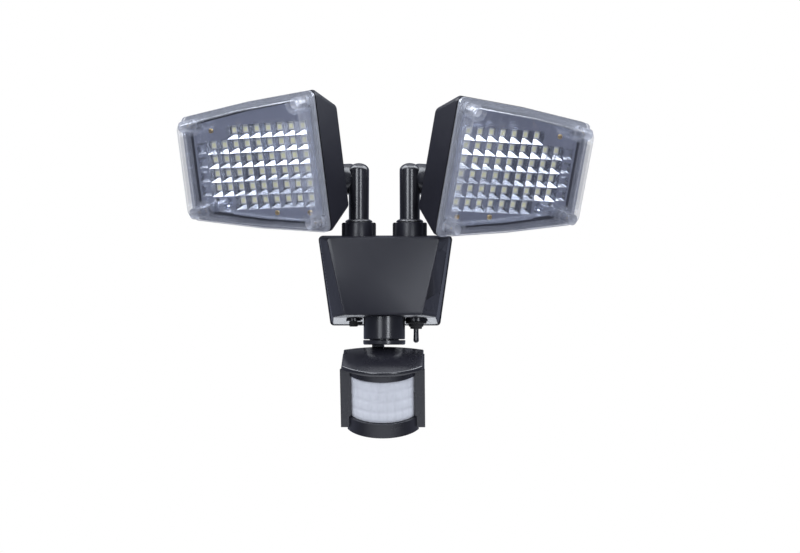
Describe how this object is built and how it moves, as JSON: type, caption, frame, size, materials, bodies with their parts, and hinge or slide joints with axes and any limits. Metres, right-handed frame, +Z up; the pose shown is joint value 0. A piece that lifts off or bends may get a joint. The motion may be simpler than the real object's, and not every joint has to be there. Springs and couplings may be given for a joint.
{
  "type": "wall-mounted floodlight with motion sensor",
  "caption": "Wall-mounted twin-head LED floodlight with swivelling arms, tilting lamps, a hanging motion-sensor head and a toggle switch.",
  "frame": {"origin": "centre of the wall plate's back face, on the wall", "axes": "+Z up, +X to the viewer's right seen from the front, -Y out of the wall towards the viewer, +Y into the wall"},
  "size_m": [0.3426, 0.1237, 0.2773],
  "materials": {
    "cover_black": "fine-textured black ABS, satin",
    "housing_black": "glossy moulded black ABS",
    "bracket_black": "plain black moulding",
    "gloss_black": "polished black moulding",
    "shell_black": "fine satin black moulding",
    "steel": "zinc-plated steel",
    "brass": "yellow passivated, slightly dull",
    "soft_rubber": "matte moulded rubber",
    "cell_wrap": "shrink-wrapped cell",
    "circuit_board": "green solder mask",
    "led_board": "white-coated board with yellow phosphor packages",
    "reflector_silver": "vacuum-metallised moulding, mirror-bright",
    "clear_cover": "clear polycarbonate, polished",
    "fresnel_white": "milky polyethylene, faint facets",
    "dial_black": "plain moulding with a screwdriver slot"
  },
  "bodies": {
    "wall_unit": {"front_cover": "cover_black", "rear_housing": "housing_black", "housing_screw_upper_left": "steel", "housing_screw_upper_right": "steel", "housing_screw_lower_left": "steel", "housing_screw_lower_right": "steel", "wall_plate": "bracket_black", "battery_cell_upper": "cell_wrap", "battery_cell_lower": "cell_wrap", "battery_tray": "bracket_black", "control_board": "circuit_board", "toggle_boot": "soft_rubber", "switch_body": "bracket_black", "panel_socket": "gloss_black", "socket_dust_cap": "soft_rubber", "sensor_neck": "gloss_black"},
    "left_arm_unit": {"left_arm": "gloss_black", "left_arm_washer": "gloss_black", "left_arm_seal": "soft_rubber", "left_knuckle_insert": "brass", "left_knuckle_bolt": "steel"},
    "left_lamp_unit": {"left_lamp_shell": "shell_black", "left_lamp_gasket": "soft_rubber", "left_led_board": "led_board", "left_reflector": "reflector_silver", "left_lens_cover": "clear_cover", "left_lamp_screw_upper_inner": "brass", "left_lamp_screw_lower_inner": "brass", "left_lamp_screw_upper_outer": "brass", "left_lamp_screw_lower_outer": "brass"},
    "right_arm_unit": {"right_arm": "gloss_black", "right_arm_washer": "gloss_black", "right_arm_seal": "soft_rubber", "right_knuckle_insert": "brass", "right_knuckle_bolt": "steel"},
    "right_lamp_unit": {"right_lamp_shell": "shell_black", "right_lamp_gasket": "soft_rubber", "right_led_board": "led_board", "right_reflector": "reflector_silver", "right_lens_cover": "clear_cover", "right_lamp_screw_upper_inner": "brass", "right_lamp_screw_lower_inner": "brass", "right_lamp_screw_upper_outer": "brass", "right_lamp_screw_lower_outer": "brass"},
    "sensor_pan_unit": {"sensor_swivel": "gloss_black", "sensor_tilt_bolt": "steel", "sensor_tilt_nut": "steel"},
    "sensor_head_unit": {"sensor_case": "gloss_black", "sensor_cap": "gloss_black", "sensor_bezel": "gloss_black", "sensor_lens": "fresnel_white", "sensor_board": "circuit_board", "sensor_pyro_element": "steel"},
    "toggle": {"toggle_lever": "gloss_black"},
    "time_knob": {"time_dial": "dial_black"},
    "sensitivity_knob": {"sensitivity_dial": "dial_black"},
    "dusk_knob": {"dusk_dial": "dial_black"}
  },
  "joints": [
    {"name": "left_arm_swivel", "type": "hinge", "parent": "wall_unit", "child": "left_arm_unit", "pos_m": [-0.0208, -0.032, 0.05], "axis": [0, 0, -1], "range_deg": [-33, 42]},
    {"name": "left_head_tilt", "type": "hinge", "parent": "left_arm_unit", "child": "left_lamp_unit", "pos_m": [-0.0208, -0.032, 0.0826], "axis": [0.8387, -0.5446, 0], "range_deg": [-52, 5]},
    {"name": "right_arm_swivel", "type": "hinge", "parent": "wall_unit", "child": "right_arm_unit", "pos_m": [0.0208, -0.032, 0.05], "axis": [0, 0, 1], "range_deg": [-37.5, 37.5]},
    {"name": "right_head_tilt", "type": "hinge", "parent": "right_arm_unit", "child": "right_lamp_unit", "pos_m": [0.0208, -0.032, 0.0826], "axis": [0.7934, 0.6088, 0], "range_deg": [-56.5, 0.8]},
    {"name": "sensor_pan", "type": "hinge", "parent": "wall_unit", "child": "sensor_pan_unit", "pos_m": [0, -0.032, -0.051], "axis": [0, 0, 1], "range_deg": [-80, 80]},
    {"name": "sensor_tilt", "type": "hinge", "parent": "sensor_pan_unit", "child": "sensor_head_unit", "pos_m": [0, -0.028, -0.0622], "axis": [1, 0, 0], "range_deg": [-2, 25]},
    {"name": "toggle_throw", "type": "hinge", "parent": "wall_unit", "child": "toggle", "pos_m": [0.0257, -0.022, -0.03554], "axis": [1, 0, 0], "range_deg": [-12, 12]},
    {"name": "time_turn", "type": "hinge", "parent": "sensor_head_unit", "child": "time_knob", "pos_m": [-0.016, -0.04791, -0.07004], "axis": [0, -0.3665, 0.9304], "range_deg": [-135, 135]},
    {"name": "sensitivity_turn", "type": "hinge", "parent": "sensor_head_unit", "child": "sensitivity_knob", "pos_m": [0, -0.04791, -0.07004], "axis": [0, -0.3665, 0.9304], "range_deg": [-135, 135]},
    {"name": "dusk_turn", "type": "hinge", "parent": "sensor_head_unit", "child": "dusk_knob", "pos_m": [0.016, -0.04791, -0.07004], "axis": [0, -0.3665, 0.9304], "range_deg": [-135, 135]}
  ]
}
